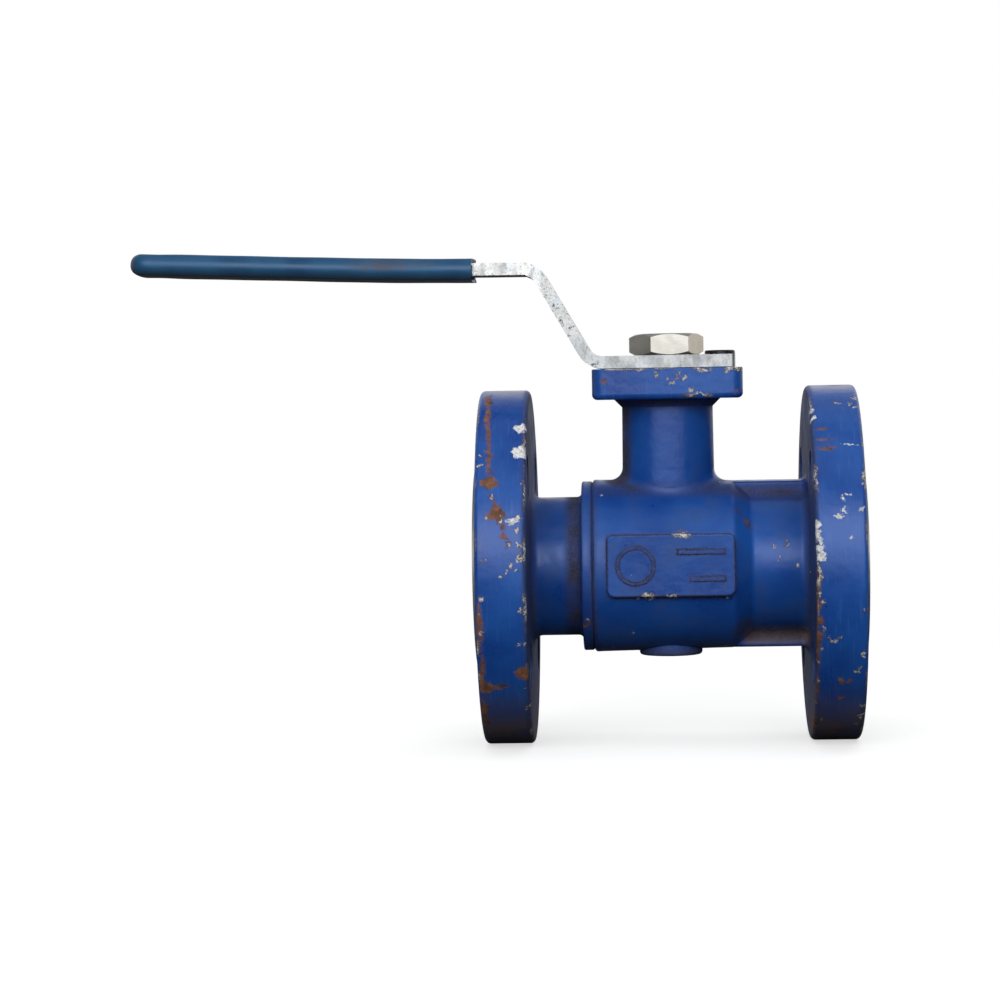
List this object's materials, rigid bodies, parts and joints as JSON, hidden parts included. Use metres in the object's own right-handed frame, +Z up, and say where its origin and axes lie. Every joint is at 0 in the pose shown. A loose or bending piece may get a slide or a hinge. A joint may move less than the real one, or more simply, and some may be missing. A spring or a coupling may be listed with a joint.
{
  "type": "ball valve",
  "caption": "Quarter-turn flanged ball valve with a two-piece cast body, tall stem neck, square actuator pad and cranked hand lever.",
  "frame": {"origin": "centre of the ball, where the flow axis crosses the stem axis", "axes": "+X along the flow axis towards the body's own flange, +Y to the back, away from the cast plate, +Z up the stem; the lever lies towards -X with the valve open"},
  "size_m": [0.2371, 0.115, 0.1624],
  "materials": {
    "blue_enamel": "gloss blue enamel over cast steel, chipped, with rust and dirt",
    "stainless_steel": "machined and polished stainless steel",
    "zinc_plated_steel": "dull bright zinc plating, blotchy and scuffed",
    "blue_vinyl": "dip-moulded blue vinyl, satin",
    "black_steel": "blackened, oiled steel",
    "ptfe": "virgin PTFE, waxy white"
  },
  "bodies": {
    "valve_body": {"body_casting": "blue_enamel", "end_piece": "blue_enamel", "body_gasket": "ptfe", "seat_body_side": "ptfe", "seat_end_side": "ptfe", "thrust_washer": "ptfe", "packing_bottom_ring": "ptfe", "packing_v_rings": "ptfe", "packing_top_ring": "ptfe", "gland_bush": "stainless_steel", "stop_screw": "black_steel"},
    "stem_and_lever": {"stem": "stainless_steel", "lever": "zinc_plated_steel", "lever_grip": "blue_vinyl", "lever_nut": "stainless_steel", "gland_nut": "stainless_steel", "tab_washer": "stainless_steel", "disc_springs": "stainless_steel", "antistatic_ball": "stainless_steel", "antistatic_spring": "stainless_steel"},
    "ball": {"ball": "stainless_steel"}
  },
  "joints": [
    {"name": "lever_turn", "type": "hinge", "parent": "valve_body", "child": "stem_and_lever", "pos_m": [0, 0, 0], "axis": [0, 0, 1], "range_deg": [-90, 0]},
    {"name": "ball_turn", "type": "hinge", "parent": "valve_body", "child": "ball", "pos_m": [0, 0, 0], "axis": [0, 0, 1], "range_deg": [-90, 0]}
  ],
  "couplings": [
    {"joint": "ball_turn", "follows": "lever_turn", "ratio": 1}
  ]
}
